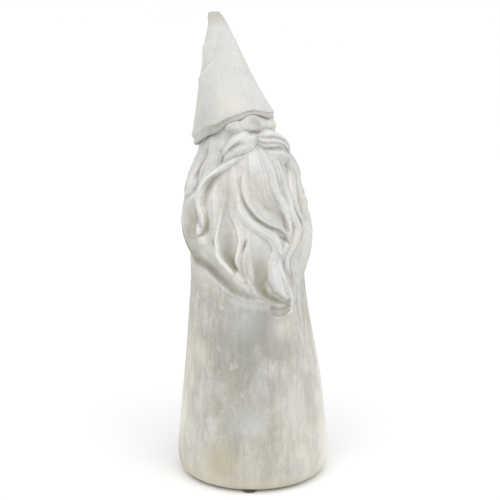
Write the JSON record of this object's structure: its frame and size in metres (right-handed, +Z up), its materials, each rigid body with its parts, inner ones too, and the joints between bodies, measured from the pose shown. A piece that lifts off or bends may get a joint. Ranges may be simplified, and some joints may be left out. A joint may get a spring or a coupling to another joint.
{
  "type": "garden gnome figurine",
  "caption": "Tall hollow cast garden gnome with a leaning pointed hat, long wavy beard and folded arms, standing on small stick-on felt pads.",
  "frame": {"origin": "middle of the footprint on the ground, under the pads", "axes": "+Z up towards the hat, -Y towards the gnome's front, +X towards the gnome's left hand"},
  "size_m": [0.134, 0.134, 0.41],
  "materials": {
    "whitewashed_concrete": "matt, brushed whitewash over fine-grained cast concrete",
    "grey_felt": "matt pressed felt"
  },
  "bodies": {
    "root": {"figure_casting": "whitewashed_concrete", "foot_pad_front_right": "grey_felt", "foot_pad_front_left": "grey_felt", "foot_pad_back_right": "grey_felt", "foot_pad_back_left": "grey_felt"}
  },
  "joints": []
}
